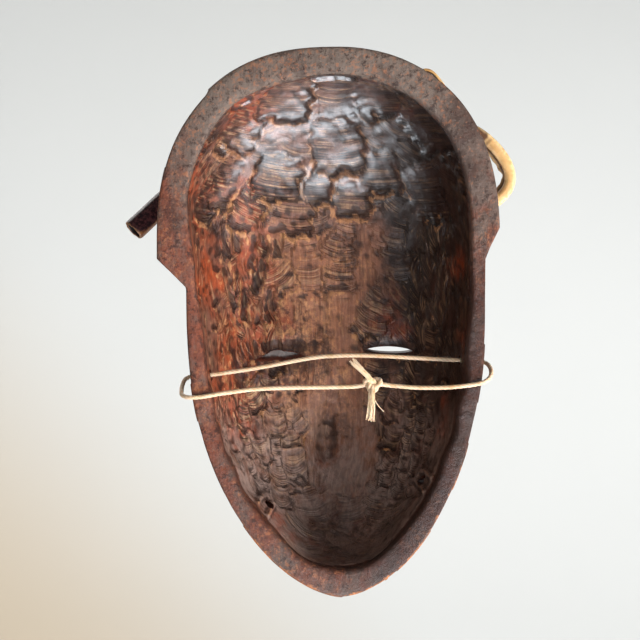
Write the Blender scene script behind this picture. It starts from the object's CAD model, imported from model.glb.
import math

import bmesh
import bpy
import numpy as np
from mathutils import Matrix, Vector


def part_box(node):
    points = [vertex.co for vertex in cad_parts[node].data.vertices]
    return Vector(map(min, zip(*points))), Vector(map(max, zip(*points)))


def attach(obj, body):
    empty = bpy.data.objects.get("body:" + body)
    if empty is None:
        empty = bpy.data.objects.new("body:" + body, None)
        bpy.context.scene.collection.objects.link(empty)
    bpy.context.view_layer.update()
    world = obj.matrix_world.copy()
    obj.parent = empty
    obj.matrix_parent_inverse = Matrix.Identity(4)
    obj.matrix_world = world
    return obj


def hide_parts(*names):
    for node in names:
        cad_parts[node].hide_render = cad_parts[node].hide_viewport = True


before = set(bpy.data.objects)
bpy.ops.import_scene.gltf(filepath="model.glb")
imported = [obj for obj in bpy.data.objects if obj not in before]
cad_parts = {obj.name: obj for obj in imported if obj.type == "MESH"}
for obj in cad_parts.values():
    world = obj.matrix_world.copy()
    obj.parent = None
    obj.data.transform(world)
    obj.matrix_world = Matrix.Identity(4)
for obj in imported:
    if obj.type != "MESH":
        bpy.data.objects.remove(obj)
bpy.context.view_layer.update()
scene = bpy.context.scene
hangHeight = 112  # millimetres from the chin up to the cord, where the frame has its origin


def at(x, y, z):
    # millimetres, with the height counted from the chin, to metres in the frame
    return (x / 1000, y / 1000, (z - hangHeight) / 1000)


def place(points):
    # the same for an array of points
    return (np.asarray(points, float) - (0, 0, hangHeight)) / 1000


# camera
cameraSettings = {"lens": 68.7, "place": (0.008, 0.62, 0.029), "turn": (90, 0, 180)}
camera = bpy.data.objects.new("camera", bpy.data.cameras.new("camera"))
camera.data.lens = cameraSettings["lens"]
camera.data.clip_start = 0.01
camera.location = cameraSettings["place"]
camera.rotation_euler = [math.radians(a) for a in cameraSettings["turn"]]
scene.collection.objects.link(camera)
scene.camera = camera
print("camera ready")


# small helpers for node trees and meshes
def feed(socket, value):
    # a socket takes a link or a plain value
    if isinstance(value, bpy.types.NodeSocket):
        socket.id_data.links.new(value, socket)
    elif socket.type == "RGBA":
        socket.default_value = (*value, 1)
    else:
        socket.default_value = value


def addNode(tree, kind, inputs=None, **settings):
    node = tree.nodes.new(kind)
    for name, value in settings.items():
        setattr(node, name, value)
    for key, value in (inputs or {}).items():
        feed(node.inputs[key], value)
    return node


def treeOf(*values):
    return next(value.id_data for value in values if isinstance(value, bpy.types.NodeSocket))


def maths(operation, *values, clamp=False):
    inputs = dict(enumerate(values))
    return addNode(treeOf(*values), "ShaderNodeMath", inputs, operation=operation,
                   use_clamp=clamp).outputs[0]


def times(a, b, clamp=False):
    return maths("MULTIPLY", a, b, clamp=clamp)


def plus(a, b):
    return maths("ADD", a, b)


def minus(a, b):
    return maths("SUBTRACT", a, b)


def most(a, b):
    return maths("MAXIMUM", a, b)


def scaledSum(value, factor, added, clamp=False):
    return maths("MULTIPLY_ADD", value, factor, added, clamp=clamp)


def between(value, low, high):
    # 0 at low, 1 at high, with a soft start and end
    inputs = {"Value": value, "From Min": low, "From Max": high}
    return addNode(treeOf(value), "ShaderNodeMapRange", inputs,
                   interpolation_type="SMOOTHSTEP").outputs["Result"]


def blend(share, first, second):
    node = treeOf(share, first, second).nodes.new("ShaderNodeMix")
    node.data_type = "RGBA"
    for index, value in ((0, share), (6, first), (7, second)):
        feed(node.inputs[index], value)
    return node.outputs[2]


def noise(vector, scale, detail=3.0, rough=0.55, stretch=(1, 1, 1), shift=(0, 0, 0)):
    tree = treeOf(vector)
    mapped = addNode(tree, "ShaderNodeMapping", {"Vector": vector, "Scale": stretch, "Location": shift})
    inputs = {"Vector": mapped.outputs[0], "Scale": scale, "Detail": detail, "Roughness": rough}
    return addNode(tree, "ShaderNodeTexNoise", inputs).outputs["Fac"]


def scaleVector(vector, scale):
    made = addNode(treeOf(vector), "ShaderNodeVectorMath", {0: vector, "Scale": scale}, operation="SCALE")
    return made.outputs[0]


def attribute(tree, name):
    return addNode(tree, "ShaderNodeAttribute", attribute_name=name).outputs["Fac"]


def makeGroup(name, kind, inputs, outputs):
    tree = bpy.data.node_groups.new(name, kind)
    for word, direction in ((inputs, "INPUT"), (outputs, "OUTPUT")):
        for socketName, socketKind, *value in word:
            socket = tree.interface.new_socket(socketName, in_out=direction,
                                               socket_type="NodeSocket" + socketKind)
            if value:
                socket.default_value = value[0]
    return tree, tree.nodes.new("NodeGroupInput"), tree.nodes.new("NodeGroupOutput")


def useGroup(tree, group, inputs):
    return addNode(tree, "ShaderNodeGroup", inputs, node_tree=group)


def newMaterial(name):
    material = bpy.data.materials.new(name)
    material.use_nodes = True
    tree = material.node_tree
    return material, tree, tree.nodes["Principled BSDF"]


def objectSpot(tree):
    return addNode(tree, "ShaderNodeTexCoord").outputs["Object"]


def heightOfFacing(tree):
    # how far the surface faces up, from -1 to 1
    facing = addNode(tree, "ShaderNodeNewGeometry").outputs["Normal"]
    return addNode(tree, "ShaderNodeSeparateXYZ", {0: facing}).outputs[2]


def coverWith(skin, colour, rough, height, strength, distance):
    # colour, roughness, and a bump from one height
    feed(skin.inputs["Base Color"], colour)
    feed(skin.inputs["Roughness"], rough)
    bump = addNode(skin.id_data, "ShaderNodeBump",
                   {"Height": height, "Strength": strength, "Distance": distance})
    feed(skin.inputs["Normal"], bump.outputs[0])


def newPiece(name, vertices, faces, material, smooth=True, attributes=None):
    mesh = bpy.data.meshes.new(name)
    mesh.from_pydata(np.asarray(vertices).tolist(), [], faces)
    for word, values in (attributes or {}).items():
        layer = mesh.attributes.new(word, "FLOAT", "POINT")
        layer.data.foreach_set("value", np.asarray(values, np.float32))
    mesh.polygons.foreach_set("use_smooth", [smooth] * len(mesh.polygons))
    mesh.materials.append(material)
    mesh.update()
    piece = bpy.data.objects.new(name, mesh)
    scene.collection.objects.link(piece)
    return piece


def turnOutwards(piece):
    shape = bmesh.new()
    shape.from_mesh(piece.data)
    bmesh.ops.recalc_face_normals(shape, faces=shape.faces)
    shape.to_mesh(piece.data)
    shape.free()


def hand(piece, slot, *nodes):
    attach(piece, "root")
    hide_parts(*nodes)


def handMesh(name, vertices, faces, material, marks, slot, *nodes):
    # millimetres in, a finished closed piece out
    piece = newPiece(name, place(vertices), faces, material, attributes=marks)
    turnOutwards(piece)
    hand(piece, slot, *nodes)
    return piece


def ramp(v, low, high):
    return np.clip((v - low) / (high - low), 0, 1)


def soft(v, low, high):
    s = ramp(v, low, high)
    return s * s * (3 - 2 * s)


def hill(across, up, wide, tall):
    return np.exp(-((across / wide) ** 2) - (up / tall) ** 2)


def smoothPath(points, step):
    # a curve through hand-set points (Catmull-Rom), as evenly spaced points
    p = np.asarray(points, float)
    p = np.vstack([2 * p[0] - p[1], p, 2 * p[-1] - p[-2]])
    t = np.linspace(0, 1, 24, endpoint=False)[:, None]
    runs = []
    for a, b, c, d in zip(p[:-3], p[1:-2], p[2:-1], p[3:]):
        runs.append(0.5 * (2 * b + (c - a) * t + (2 * a - 5 * b + 4 * c - d) * t**2
                           + (3 * b - a - 3 * c + d) * t**3))
    line = np.vstack([*runs, p[-2:-1]])
    along = travelled(line)
    want = np.linspace(0, along[-1], max(2, round(along[-1] / step)) + 1)
    return np.stack([np.interp(want, along, line[:, i]) for i in range(3)], axis=1)


def travelled(points):
    # how far along the line each point lies
    return np.concatenate([[0], np.cumsum(np.linalg.norm(np.diff(points, axis=0), axis=1))])


def headings(points):
    along = np.gradient(points, axis=0)
    return along / np.linalg.norm(along, axis=1)[:, None]


def framesAlong(points, closed=False):
    # two directions across the path that turn as little as they can
    along = headings(points)
    if closed:
        along = np.roll(points, -1, axis=0) - np.roll(points, 1, axis=0)
        along /= np.linalg.norm(along, axis=1)[:, None]
    first = np.cross(along[0], (0, 1, 0))
    if np.linalg.norm(first) < 0.1:
        first = np.cross(along[0], (0, 0, 1))
    sides = [first / np.linalg.norm(first)]
    for direction in along[1:]:
        side = sides[-1] - direction * sides[-1].dot(direction)
        sides.append(side / np.linalg.norm(side))
    sides = np.array(sides)
    return sides, np.cross(along, sides)


def gridFaces(rows, columns, start=0, wrap=True):
    i, j = np.meshgrid(np.arange(rows - 1), np.arange(columns if wrap else columns - 1), indexing="ij")
    a = start + i * columns + j
    b = start + i * columns + (j + 1) % columns
    return np.stack([a, b, b + columns, a + columns], axis=-1).reshape(-1, 4).tolist()


# shader groups that several materials share
def grainGroup():
    # long fibres up the wood, with a broad mottle and small pores
    tree, source, result = makeGroup(
        "grain", "ShaderNodeTree",
        [("Vector", "Vector"), ("Scale", "Float", 1.0), ("Stretch", "Float", 0.07)],
        [("Fibre", "Float"), ("Mottle", "Float"), ("Pores", "Float")],
    )
    squeeze = addNode(tree, "ShaderNodeCombineXYZ", {0: 1.0, 1: 1.0, 2: source.outputs["Stretch"]})
    inputs = {0: source.outputs["Vector"], 1: squeeze.outputs[0]}
    along = addNode(tree, "ShaderNodeVectorMath", inputs, operation="MULTIPLY")
    scaled = scaleVector(along.outputs[0], source.outputs["Scale"])
    plain = scaleVector(source.outputs["Vector"], source.outputs["Scale"])
    fibre = noise(scaled, 620, 5, 0.6)
    mottle = noise(plain, 42, 5, 0.62)
    dots = addNode(tree, "ShaderNodeTexVoronoi", {"Vector": scaled, "Scale": 900.0})
    pores = between(dots.outputs["Distance"], 0.05, 0.32)
    for name, value in (("Fibre", fibre), ("Mottle", mottle), ("Pores", pores)):
        feed(result.inputs[name], value)
    return tree


def toolMarksGroup():
    # the fine uneven ridges that a nicked gouge leaves across each cut
    tree, source, result = makeGroup(
        "toolMarks", "ShaderNodeTree",
        [("Phase", "Float"), ("Mark", "Float"), ("Vector", "Vector"), ("Waver", "Float", 0.9)],
        [("Line", "Float"), ("Groove", "Float"), ("Height", "Float")],
    )
    drift = noise(source.outputs["Vector"], 150, 3, 0.55)
    patch = noise(source.outputs["Vector"], 85, 4, 0.65, shift=(3, 1, 2))
    phase = scaledSum(drift, source.outputs["Waver"], source.outputs["Phase"])
    steps = addNode(tree, "ShaderNodeCombineXYZ", {0: phase})
    broken = scaleVector(source.outputs["Vector"], 26)
    spot = addNode(tree, "ShaderNodeVectorMath", {0: steps.outputs[0], 1: broken}, operation="ADD")
    inputs = {"Vector": spot.outputs[0], "Scale": 1.15, "Detail": 3.0, "Roughness": 0.7}
    rough = addNode(tree, "ShaderNodeTexNoise", inputs).outputs[0]
    line = between(rough, 0.49, 0.60)
    groove = between(rough, 0.48, 0.38)
    strength = times(source.outputs["Mark"], between(patch, 0.36, 0.56))
    feed(result.inputs["Line"], times(line, strength, clamp=True))
    feed(result.inputs["Groove"], times(groove, strength, clamp=True))
    feed(result.inputs["Height"], times(minus(rough, 0.5), strength))
    return tree


def wearGroup():
    # rubbed places: high spots broken up by noise
    tree, source, result = makeGroup(
        "wear", "ShaderNodeTree",
        [("High", "Float"), ("Vector", "Vector"), ("Amount", "Float", 0.5), ("Size", "Float", 160.0)],
        [("Mask", "Float")],
    )
    broken = noise(scaleVector(source.outputs["Vector"], source.outputs["Size"]), 1.0, 6, 0.68)
    total = plus(plus(source.outputs["High"], broken), source.outputs["Amount"])
    feed(result.inputs["Mask"], between(total, 1.0, 1.22))
    return tree


def scratchGroup():
    # short fine scratches one way, broken into patches
    tree, source, result = makeGroup(
        "scratches", "ShaderNodeTree",
        [("Vector", "Vector"), ("Amount", "Float", 0.5), ("Lean", "Float", 0.0)],
        [("Mask", "Float")],
    )
    lean = addNode(tree, "ShaderNodeCombineXYZ", {0: 0.0, 1: source.outputs["Lean"], 2: 0.0})
    inputs = {"Vector": source.outputs["Vector"], "Rotation": lean.outputs[0]}
    turned = addNode(tree, "ShaderNodeVectorRotate", inputs, rotation_type="EULER_XYZ").outputs[0]
    hair = noise(turned, 1500, 2, 0.5, stretch=(1, 1, 0.06))
    patch = noise(turned, 120, 4, 0.65, stretch=(1, 1, 0.5), shift=(5, 2, 9))
    total = plus(times(hair, 0.75), times(patch, 0.75))
    total = plus(total, source.outputs["Amount"])
    feed(result.inputs["Mask"], between(total, 1.2, 1.42))
    return tree


grain = grainGroup()
toolMarks = toolMarksGroup()
wear = wearGroup()
scratches = scratchGroup()


# materials
woodColours = {
    "dark": (0.020, 0.009, 0.007), "brown": (0.150, 0.064, 0.044), "red": (0.27, 0.046, 0.013),
    "grey": (0.32, 0.205, 0.145), "tan": (0.58, 0.33, 0.16), "orange": (0.46, 0.17, 0.06),
    "rimGrey": (0.112, 0.077, 0.063), "rimRed": (0.165, 0.046, 0.024), "rimDark": (0.028, 0.013, 0.010),
    "rimWarm": (0.34, 0.130, 0.060), "dust": (0.27, 0.195, 0.172), "rimTop": (0.150, 0.118, 0.100),
    "umber": (0.25, 0.105, 0.062),
    "front": (0.115, 0.030, 0.017), "frontDeep": (0.042, 0.013, 0.009), "frontWarm": (0.20, 0.065, 0.028),
    "frontBare": (0.30, 0.125, 0.055),
}


def varnishedWood():
    material, tree, skin = newMaterial("varnishedWood")
    colour = woodColours
    spot = objectSpot(tree)
    apart = addNode(tree, "ShaderNodeSeparateXYZ", {0: spot})
    x, z = apart.outputs[0], apart.outputs[2]
    inside, rim, across = (attribute(tree, name) for name in ("inside", "rim", "rimAcross"))
    tone, bend = attribute(tree, "tone"), attribute(tree, "bend")
    fibres = useGroup(tree, grain, {"Vector": spot})
    marks = useGroup(tree, toolMarks,
                     {"Phase": attribute(tree, "phase"), "Mark": attribute(tree, "mark"), "Vector": spot})
    broad = noise(spot, 20, 4, 0.6, shift=(0.31, 0.12, 0.77))
    patches = noise(spot, 34, 5, 0.68, stretch=(1, 1, 0.7), shift=(0.7, 0.2, 0.4))
    middling = noise(spot, 95, 6, 0.7, stretch=(1, 1, 0.6))
    fine = noise(spot, 420, 4, 0.7)
    left = between(x, -0.01, 0.065)  # the side under the cane took the stain redder
    right = between(x, 0.0, -0.06)
    low = between(z, -0.01, -0.09)

    # how far a place was rubbed back to bare wood: the middle most, the crown and the chin least
    centre = times(between(maths("ABSOLUTE", minus(x, 0.008)), 0.060, 0.02), between(z, -0.115, -0.03))
    centre = times(centre, between(z, 0.104, 0.070))
    flank = times(between(x, 0.012, 0.03), between(x, 0.085, 0.06))
    flank = times(flank, times(between(z, -0.07, -0.02), between(z, 0.125, 0.09)))
    worn = most(centre, times(flank, 0.85))
    worn = scaledSum(right, -0.4, worn)

    # the stained bowl
    shade = scaledSum(middling, 0.85, times(tone, 0.22))
    shade = scaledSum(patches, 0.55, shade)
    shade = scaledSum(right, -0.22, shade)
    shade = scaledSum(worn, 0.16, shade)
    brown = blend(centre, colour["brown"], colour["umber"])
    bowl = blend(between(shade, 0.55, 0.98), colour["dark"], brown)
    redness = scaledSum(left, 0.16, broad)
    redness = scaledSum(worn, -0.08, redness)
    redness = scaledSum(times(between(z, 0.055, 0.085), between(x, 0.05, 0.02)), -0.13, redness)
    bowl = blend(times(between(redness, 0.53, 0.68), 0.85), bowl, colour["red"])
    bowl = blend(times(marks.outputs["Groove"], 0.9), bowl, colour["dark"])
    crest = times(marks.outputs["Line"], scaledSum(right, -0.3, 0.95))
    crest = times(crest, scaledSum(low, -0.1, 1.0))
    bowl = blend(crest, bowl, blend(middling, colour["grey"], colour["tan"]))

    # bare scratched wood where a face has rubbed
    for lean, share, amount in ((0.03, 0.42, 0.05), (1.52, 0.36, 0.02), (0.5, 0.26, 0.02)):
        scraped = useGroup(tree, scratches, {"Vector": spot, "Lean": lean,
                                             "Amount": scaledSum(worn, share, amount)})
        bowl = blend(times(scraped.outputs[0], 0.6), bowl, blend(fine, colour["brown"], colour["orange"]))
    bare = scaledSum(worn, 0.34, scaledSum(fine, 0.6, times(middling, 0.6)))
    bowl = blend(times(between(bare, 0.92, 1.08), 0.6), bowl, blend(broad, colour["orange"], colour["tan"]))
    high = most(times(bend, 1.3), 0.0)
    high = scaledSum(marks.outputs["Line"], 0.10, high)
    rubbed = useGroup(tree, wear, {"High": high, "Vector": spot, "Size": 620.0,
                                   "Amount": scaledSum(worn, 0.20, 0.05)})
    crown = between(z, 0.08, 0.12)
    bared = times(rubbed.outputs[0], scaledSum(crown, -0.34, 0.7))
    bowl = blend(bared, bowl, blend(broad, colour["orange"], colour["tan"]))
    soot = scaledSum(patches, -1.0, scaledSum(fine, -0.3, 1.15))
    bowl = blend(times(between(soot, 0.53, 0.66), 0.7), bowl, colour["dark"])
    shadowed = times(right, between(z, 0.07, 0.12))
    bowl = blend(times(shadowed, 0.8), bowl, colour["dark"])
    dusty = times(between(z, 0.0, -0.05), between(middling, 0.3, 0.6))
    bowl = blend(times(dusty, 0.85), bowl, colour["dust"])
    bowl = blend(times(between(bend, -0.04, -0.26), 0.8), bowl, colour["dark"])

    lip = times(between(inside, 0.02, 0.35), between(inside, 1.0, 0.6))  # grime under the rim
    bowl = blend(times(lip, 0.8), bowl, colour["dark"])

    # the bare, handled rim
    mottle = noise(spot, 230, 6, 0.78, shift=(0.2, 0.9, 0.1))
    edge = scaledSum(left, 0.06, times(patches, 0.6))
    edge = scaledSum(middling, 0.5, edge)
    edge = scaledSum(between(z, 0.03, 0.14), -0.12, edge)
    band = blend(between(edge, 0.46, 0.64), colour["rimGrey"], colour["rimRed"])
    band = blend(times(between(z, 0.10, 0.15), 0.7), band, colour["rimTop"])
    band = blend(times(between(mottle, 0.50, 0.62), 0.8), band, colour["rimDark"])
    band = blend(times(between(patches, 0.49, 0.62), 0.6), band, colour["rimDark"])
    band = blend(times(between(z, 0.0, -0.08), 0.35), band, colour["rimDark"])
    flecks = scaledSum(mottle, -0.8, times(fine, 1.2))
    flecks = scaledSum(broad, 0.5, flecks)
    band = blend(times(between(flecks, 0.49, 0.68), 0.5), band, colour["rimWarm"])
    edges = maths("POWER", times(maths("ABSOLUTE", minus(across, 0.5)), 2.0), 2.0)
    chipped = useGroup(tree, wear,
                       {"High": times(edges, 0.30), "Vector": spot, "Amount": 0.20, "Size": 260.0})
    band = blend(times(chipped.outputs[0], 0.85), band, colour["orange"])

    stained = times(between(x, 0.0, -0.03), between(z, 0.08, 0.03))
    band = blend(times(stained, 0.75), band, colour["dark"])
    grime = times(between(across, 0.55, 0.0), between(z, 0.04, -0.04))
    band = blend(times(grime, 0.6), band, colour["dark"])
    knocked = scaledSum(mottle, 0.5, times(across, 0.5))
    knocked = scaledSum(low, 0.10, knocked)
    band = blend(times(between(knocked, 0.74, 0.84), 0.8), band, colour["orange"])

    # the front under its varnish
    face = blend(between(middling, 0.35, 0.7), colour["frontDeep"], colour["front"])
    face = blend(times(between(fibres.outputs["Fibre"], 0.48, 0.72), 0.3), face, colour["frontWarm"])
    proud = times(most(bend, 0.0), 0.9)
    rubbedFace = useGroup(tree, wear, {"High": proud, "Vector": spot, "Amount": 0.12, "Size": 380.0})
    face = blend(times(rubbedFace.outputs[0], 0.8), face, colour["frontBare"])
    scuffed = useGroup(tree, scratches, {"Vector": spot, "Lean": 0.2, "Amount": 0.22})
    face = blend(times(scuffed.outputs[0], 0.35), face, colour["frontBare"])
    face = blend(between(bend, -0.05, -0.4), face, colour["dark"])

    whole = blend(inside, face, bowl)
    whole = blend(rim, whole, band)
    streaks = times(between(fibres.outputs["Fibre"], 0.58, 0.42), scaledSum(rim, -0.18, 0.3))
    whole = blend(streaks, whole, colour["dark"])

    rough = scaledSum(fine, 0.28, 0.22)
    rough = scaledSum(rim, 0.14, rough)
    rough = scaledSum(minus(1.0, inside), 0.12, rough)
    rough = scaledSum(worn, 0.2, rough)
    beneath = times(between(heightOfFacing(tree), -0.15, -0.6), minus(1.0, inside))
    rough = scaledSum(beneath, 0.4, rough)
    rough = scaledSum(times(right, inside), 0.1, rough)
    rough = scaledSum(rubbed.outputs[0], 0.2, rough, clamp=True)
    gloss = scaledSum(rim, -0.88, between(middling, 0.2, 0.55))
    gloss = scaledSum(worn, -0.8, gloss)
    gloss = scaledSum(right, -0.95, gloss)
    gloss = times(gloss, scaledSum(inside, 0.65, 0.35))
    gloss = scaledSum(times(lip, inside), -0.9, gloss)
    gloss = scaledSum(beneath, -1.0, gloss)
    skin.inputs["Specular IOR Level"].default_value = 0.26
    feed(skin.inputs["Coat Weight"], most(gloss, 0.01))
    skin.inputs["Coat Roughness"].default_value = 0.33

    height = times(marks.outputs["Height"], 4.0)
    height = scaledSum(fibres.outputs["Fibre"], 0.25, height)
    height = scaledSum(fine, 0.35, height)
    height = scaledSum(times(mottle, rim), 0.9, height)
    height = scaledSum(middling, 0.6, height)
    height = scaledSum(fibres.outputs["Pores"], 0.08, height)
    coverWith(skin, whole, rough, height, 1.0, 0.0009)
    return material


caneColours = {
    "dark": (0.016, 0.005, 0.007), "lacquer": (0.085, 0.028, 0.030), "under": (0.33, 0.125, 0.036),
    "dusty": (0.16, 0.115, 0.092), "rubbed": (0.27, 0.125, 0.05), "bore": (0.008, 0.005, 0.004),
}


def lacqueredCane():
    material, tree, skin = newMaterial("lacqueredCane")
    spot = objectSpot(tree)
    facing = heightOfFacing(tree)
    length, bore = attribute(tree, "length"), attribute(tree, "bore")
    turn = addNode(tree, "ShaderNodeCombineXYZ", {0: attribute(tree, "around"), 1: times(length, 0.05)})
    lines = noise(turn.outputs[0], 9, 5, 0.7)
    mottle = noise(spot, 240, 5, 0.68)
    colour = blend(between(lines, 0.42, 0.62), caneColours["dark"], caneColours["lacquer"])
    under = scaledSum(facing, -0.85, times(mottle, 0.5))
    colour = blend(times(between(under, 0.52, 0.68), 0.9), colour, caneColours["under"])
    above = scaledSum(facing, 0.4, times(lines, 0.5))
    colour = blend(times(between(above, 0.44, 0.62), 0.5), colour, caneColours["dusty"])
    rubbed = useGroup(tree, wear, {"High": times(attribute(tree, "edge"), 0.5), "Vector": spot,
                                   "Amount": 0.22, "Size": 430.0})
    colour = blend(rubbed.outputs[0], colour, caneColours["rubbed"])
    colour = blend(bore, colour, caneColours["bore"])
    rough = scaledSum(bore, 0.5, scaledSum(mottle, 0.3, 0.26), clamp=True)
    skin.inputs["Specular IOR Level"].default_value = 0.16
    feed(skin.inputs["Coat Weight"], scaledSum(bore, -0.12, 0.12))
    skin.inputs["Coat Roughness"].default_value = 0.25
    coverWith(skin, colour, rough, scaledSum(lines, 1.0, times(mottle, 0.4)), 0.6, 0.0005)
    return material


hideColours = {
    "amber": (0.42, 0.22, 0.075), "pale": (0.66, 0.42, 0.18), "edge": (0.80, 0.60, 0.34),
    "brown": (0.33, 0.17, 0.06), "soiled": (0.10, 0.045, 0.022),
}


def rawhide():
    material, tree, skin = newMaterial("rawhide")
    spot = objectSpot(tree)
    broad = noise(spot, 60, 4, 0.6)
    fibre = noise(spot, 420, 5, 0.65)
    grainy = addNode(tree, "ShaderNodeTexVoronoi", {"Vector": spot, "Scale": 1500.0})
    soiled, edge = attribute(tree, "soiled"), attribute(tree, "edge")
    colour = blend(between(broad, 0.3, 0.7), hideColours["amber"], hideColours["pale"])
    colour = blend(times(edge, between(fibre, 0.35, 0.6)), colour, hideColours["edge"])
    colour = blend(times(between(fibre, 0.55, 0.75), 0.5), colour, hideColours["brown"])
    stain = plus(times(soiled, 0.9), times(broad, 0.5))
    colour = blend(between(stain, 0.55, 1.05), colour, hideColours["soiled"])
    skin.inputs["Subsurface Weight"].default_value = 0.08
    skin.inputs["Subsurface Scale"].default_value = 0.002
    height = scaledSum(grainy.outputs["Distance"], 0.35, fibre)
    coverWith(skin, colour, scaledSum(fibre, 0.3, 0.36), height, 0.55, 0.0004)
    return material


ironColours = {"black": (0.045, 0.038, 0.034), "grey": (0.15, 0.13, 0.12), "rust": (0.16, 0.055, 0.02)}


def forgedIron():
    material, tree, skin = newMaterial("forgedIron")
    spot = objectSpot(tree)
    mottle = noise(spot, 700, 5, 0.65)
    rust = useGroup(tree, wear, {"High": 0.0, "Vector": spot, "Amount": 0.47, "Size": 600.0})
    colour = blend(between(mottle, 0.35, 0.7), ironColours["black"], ironColours["grey"])
    colour = blend(rust.outputs[0], colour, ironColours["rust"])
    feed(skin.inputs["Metallic"], scaledSum(rust.outputs[0], -0.7, 0.9, clamp=True))
    coverWith(skin, colour, scaledSum(mottle, 0.4, 0.3), mottle, 0.6, 0.0003)
    return material


cottonColours = {
    "wax": (0.68, 0.51, 0.35), "grime": (0.54, 0.33, 0.16), "groove": (0.36, 0.19, 0.09),
    "fibre": (0.86, 0.75, 0.58),
}


def waxedCotton():
    material, tree, skin = newMaterial("waxedCotton")
    spot = objectSpot(tree)
    groove = attribute(tree, "groove")
    fibre = noise(spot, 2600, 3, 0.6)
    grime = noise(spot, 130, 4, 0.65)
    colour = blend(between(grime, 0.42, 0.72), cottonColours["wax"], cottonColours["grime"])
    colour = blend(times(between(groove, 0.35, 0.95), 0.55), colour, cottonColours["groove"])
    colour = blend(times(between(fibre, 0.55, 0.75), 0.3), colour, cottonColours["fibre"])
    skin.inputs["Sheen Weight"].default_value = 0.15
    skin.inputs["Subsurface Weight"].default_value = 0.15
    skin.inputs["Subsurface Scale"].default_value = 0.001
    coverWith(skin, colour, scaledSum(fibre, 0.3, 0.5), fibre, 0.6, 0.00025)
    return material


wood = varnishedWood()
cane = lacqueredCane()
hide = rawhide()
iron = forgedIron()
cotton = waxedCotton()
print("materials ready")


# the tie cord: camera and cord come first
cordSettings = {
    "diameter": 2.3, "plies": 3, "lay": 7.5, "pieceStep": 0.55, "sides": 18,
    "knotSize": 1.28, "knotFat": 1.22, "knotSides": 16, "thread": 0.27, "threadSides": 6, "strayThreads": 2,
}
cordRoute = [
    (-15, -2, 107.8), (-8, -2.3, 107), (6, -2.5, 106.7), (24, -2, 106.5), (42, -0.8, 105.7),
    (58, 0.9, 103.7), (68, 1.8, 102.1), (74.2, 1.6, 101.8), (78, -1.6, 102.7), (79, -6.5, 104.8),
    (79, -11.5, 107.6), (77.8, -15.9, 110.4), (73.6, -18.3, 111.9), (67, -18.6, 112.2),
    (58, -18.9, 113.3), (38.7, -19.2, 116.3), (13.2, -19.4, 121), (-1.9, -19.4, 122.3),
    (-20, -19.3, 122.3), (-41, -19, 121.2), (-58, -18.6, 120.3), (-67, -18.5, 120), (-74, -18.2, 119.8),
    (-78.4, -15.7, 118.5), (-79.7, -10.8, 116.7), (-79.7, -5.6, 114.3), (-78.2, -0.9, 111.6),
    (-74.2, 1.7, 109.3), (-67, 1.8, 107.9), (-55, 1, 106.8), (-41, -0.6, 106.7), (-30, -1.6, 107.5),
    (-22.6, -1.9, 108.3),
]
knotCentre = (-18.8, -1.8, 108.3)
upperTailRoute = [
    (-17.5, 0, 110.7), (-16.2, 1.6, 112.6), (-13.8, 2.6, 114.9), (-11, 3, 117.6), (-7.7, 2.8, 120.7),
]
lowerTailRoute = [(-18.3, 0.1, 105.7), (-18.1, 1.4, 103.4), (-18, 2, 100), (-17.7, 2, 95.5), (-17, 1.4, 90)]
strayRoute = [(-18.2, 1, 104), (-19.4, 2.2, 101), (-21.5, 2.6, 97.5), (-24.2, 2.4, 94.6)]


def twistedTube(points, radius, plies, lay, sides, closed=False, flatten=1.0):
    # a laid cord: a section with one round lobe for each ply, turning as it goes along
    side, up = framesAlong(points, closed)
    gone = travelled(points)
    around = np.linspace(0, 2 * np.pi, sides, endpoint=False)
    lobe = np.abs(np.cos((around[None, :] - 2 * np.pi * gone[:, None] / lay) * plies / 2))
    reach = radius * (0.84 + 0.16 * lobe**0.7)
    body = (
        points[:, None, :]
        + (reach * np.cos(around))[..., None] * side[:, None, :]
        + (reach * np.sin(around) * flatten)[..., None] * up[:, None, :]
    )
    vertices = body.reshape(-1, 3)
    faces = gridFaces(len(points), sides)
    count = len(points) * sides
    if closed:
        last = (len(points) - 1) * sides
        faces += [[last + j, last + (j + 1) % sides, (j + 1) % sides, j] for j in range(sides)]
    else:
        vertices = np.vstack([vertices, points[0], points[-1]])
        faces += [[count, (j + 1) % sides, j] for j in range(sides)]
        faces += [[count + 1, count - sides + j, count - sides + (j + 1) % sides] for j in range(sides)]
    travel = np.concatenate([np.repeat(gone, sides), [] if closed else [gone[0], gone[-1]]])
    groove = np.concatenate([1 - lobe.reshape(-1), [] if closed else [0, 0]])
    return vertices, faces, {"travel": travel, "groove": groove}


# the carved shell
# heights from the chin tip, as on the bench: the same sizes as the part's own block and hollow
block = {
    "height": 280, "capLeft": 91, "capRight": 83.5, "face": 76.5, "domeBase": 180, "jawTop": 150,
    "jawPowers": (1.7, 2.25), "chinShift": -3.5, "stepLeft": (158, 172), "stepRight": (174, 188),
    "faceDepth": 77, "capRise": 30, "wallPower": 4.2, "fadeStep": (105, 222), "edgeDepth": 1.1,
}
hollow = {
    "rimTop": 14, "rimCap": 14, "rimSide": 9, "rimChin": 14, "wall": 15, "step": (128, 205), "power": 3,
    "edgeDepth": 3.6, "nose": 8,
}
headHeight = block["height"] - block["capRise"]
third = headHeight / 3.5
eyeHeight = headHeight / 2
browHeight = 2 * third
noseBase = third
mouthHeight = 2 * third / 3
hairline = 3 * third - 5
eyeWidth = 2 * block["face"] / 5
centreHeight = noseBase + 30
meshing = {"inside": (172, 272), "outside": (146, 232)}


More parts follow.
